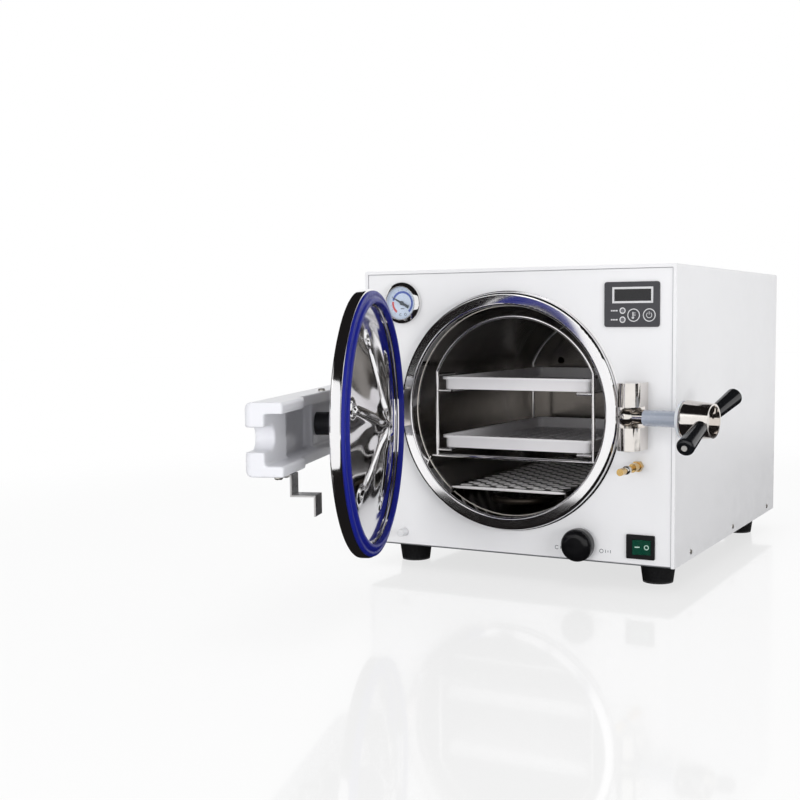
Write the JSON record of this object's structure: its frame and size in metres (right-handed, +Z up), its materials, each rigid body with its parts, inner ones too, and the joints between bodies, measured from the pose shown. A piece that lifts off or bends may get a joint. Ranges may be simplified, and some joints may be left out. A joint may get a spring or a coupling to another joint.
{
  "type": "tabletop steam sterilizer",
  "caption": "Tabletop steam sterilizer: boxed case, round pressure chamber with rack and trays, side-hung sealed door, swing-bolt clamp, gauge, display and exhaust knob.",
  "frame": {"origin": "middle of the case's footprint at the level of the table", "axes": "+Z up, -Y out of the chamber's mouth towards the user, +X to the user's right, so the hinge is on the -X side"},
  "size_m": [0.4679, 0.8946, 0.368],
  "materials": {
    "white_paint": "smooth white powder coat",
    "galvanised": "galvanised sheet",
    "black_rubber": "matt",
    "screw_steel": "bright",
    "polished_steel": "polished stainless",
    "chamber_steel": "satin stainless",
    "mineral_wool": "fibrous",
    "heater_sheath": "dull alloy sheath",
    "chrome": "polished chrome",
    "dial_face": "pale blue-white print",
    "clear_glass": "clear",
    "needle_black": "satin black",
    "display_grey": "fine texture",
    "window_black": "smoked",
    "lamp_clear": "diffused",
    "board_green": "circuit board",
    "button_grey": "fine texture",
    "switch_black": "moulded",
    "rocker_green": "translucent moulded green",
    "knob_black": "satin moulded",
    "collar_grey": "moulded",
    "brass": "turned brass",
    "button_white": "moulded",
    "thermostat_cream": "moulded",
    "copper_pipe": "drawn copper",
    "inlet_black": "moulded",
    "seal_blue": "silicone rubber",
    "cast_white": "white paint on a casting",
    "hub_black": "black oxide",
    "bracket_steel": "zinc plated",
    "sleeve_clear": "milky silicone tube",
    "nylon_white": "turned nylon",
    "grip_black": "phenolic",
    "tray_aluminium": "satin anodised",
    "rack_wire": "polished wire"
  },
  "bodies": {
    "case": {"outer_cover": "white_paint", "front_panel": "white_paint", "rear_panel": "white_paint", "base_pan": "galvanised", "feet": "black_rubber", "foot_screws": "screw_steel", "cover_screws": "screw_steel", "chamber_flange": "polished_steel", "chamber_tube": "chamber_steel", "chamber_back": "chamber_steel", "insulation_jacket": "mineral_wool", "chamber_saddles": "galvanised", "heater_tube": "heater_sheath", "chamber_shelf": "chamber_steel", "hinge_block": "chrome", "hinge_pin": "chrome", "clamp_block": "chrome", "bolt_pivot_pin": "screw_steel", "gauge_case": "chrome", "gauge_dial": "dial_face", "gauge_glass": "clear_glass", "display_panel": "display_grey", "display_window": "window_black", "indicator_lamps": "lamp_clear", "control_board": "board_green", "switch_frame": "switch_black", "valve_body": "brass", "valve_collar": "collar_grey", "reset_thermostat": "thermostat_cream", "lock_fitting": "brass", "steam_manifold": "brass", "steam_pipes": "copper_pipe", "safety_valve": "brass", "drain_nozzle": "brass", "mains_inlet": "inlet_black", "power_board": "board_green"},
    "door": {"door_plate": "polished_steel", "door_seal": "seal_blue", "door_liner": "polished_steel", "hub_boss": "hub_black", "centre_bolt": "chrome", "door_arm": "cast_white", "interlock_bracket": "bracket_steel", "arm_screws": "screw_steel"},
    "bolt": {"swing_bolt": "chrome", "bolt_sleeve": "sleeve_clear"},
    "washer": {"thrust_washer": "nylon_white"},
    "nut": {"clamp_nut": "chrome", "nut_grips": "grip_black", "grip_screws": "chrome"},
    "needle": {"gauge_needle": "needle_black"},
    "temperature_button": {"button_temperature": "button_grey"},
    "power_button": {"button_power": "button_grey"},
    "rocker": {"switch_rocker": "rocker_green"},
    "knob": {"valve_knob": "knob_black"},
    "reset": {"reset_button": "button_white"},
    "lock": {"lock_plunger": "brass"},
    "rack_body": {"rack": "rack_wire"},
    "upper_tray": {"tray_upper": "tray_aluminium"},
    "lower_tray": {"tray_lower": "tray_aluminium"}
  },
  "joints": [
    {"name": "door_swing", "type": "hinge", "parent": "case", "child": "door", "pos_m": [-0.1655, -0.304, 0.199], "axis": [0, 0, -1], "range_deg": [-71.5, 45]},
    {"name": "bolt_swing", "type": "hinge", "parent": "case", "child": "bolt", "pos_m": [0.152, -0.262, 0.199], "axis": [0, 0, 1], "range_deg": [-82.75, 12]},
    {"name": "nut_travel", "type": "slide", "parent": "bolt", "child": "washer", "axis": [0.992, -0.1262, 0], "range_m": [-0.0005, 0.0135]},
    {"name": "nut_turn", "type": "hinge", "parent": "washer", "child": "nut", "pos_m": [0.152, -0.262, 0.199], "axis": [-0.992, 0.1262, 0], "range_deg": [-1170, 0]},
    {"name": "needle_swing", "type": "hinge", "parent": "case", "child": "needle", "pos_m": [-0.146, -0.2425, 0.3285], "axis": [0, 1, 0], "range_deg": [-75, 192], "stiffness_Nm_per_rad": 0.0005},
    {"name": "temperature_press", "type": "slide", "parent": "case", "child": "temperature_button", "axis": [0, 1, 0], "range_m": [0, 0.0008], "stiffness_N_per_m": 400},
    {"name": "power_press", "type": "slide", "parent": "case", "child": "power_button", "axis": [0, 1, 0], "range_m": [0, 0.0008], "stiffness_N_per_m": 400},
    {"name": "rocker_tilt", "type": "hinge", "parent": "case", "child": "rocker", "pos_m": [0.1618, -0.239, 0.0499], "axis": [0, 0, -1], "range_deg": [0, 16]},
    {"name": "knob_turn", "type": "hinge", "parent": "case", "child": "knob", "pos_m": [0.088, -0.25, 0.0485], "axis": [0, -1, 0], "range_deg": [0, 270]},
    {"name": "reset_press", "type": "slide", "parent": "case", "child": "reset", "axis": [0, 1, 0], "range_m": [0, 0.002], "stiffness_N_per_m": 500},
    {"name": "lock_slide", "type": "slide", "parent": "case", "child": "lock", "axis": [0, -1, 0], "range_m": [0, 0.006], "stiffness_N_per_m": 300},
    {"name": "rack_slide", "type": "slide", "parent": "case", "child": "rack_body", "axis": [0, -1, 0], "range_m": [0, 0.06]},
    {"name": "upper_tray_slide", "type": "slide", "parent": "rack_body", "child": "upper_tray", "axis": [0, -1, 0], "range_m": [0, 0.06]},
    {"name": "lower_tray_slide", "type": "slide", "parent": "rack_body", "child": "lower_tray", "axis": [0, -1, 0], "range_m": [0, 0.06]}
  ],
  "couplings": [
    {"joint": "nut_travel", "follows": "nut_turn", "m_per_rad": -0.00063662}
  ]
}
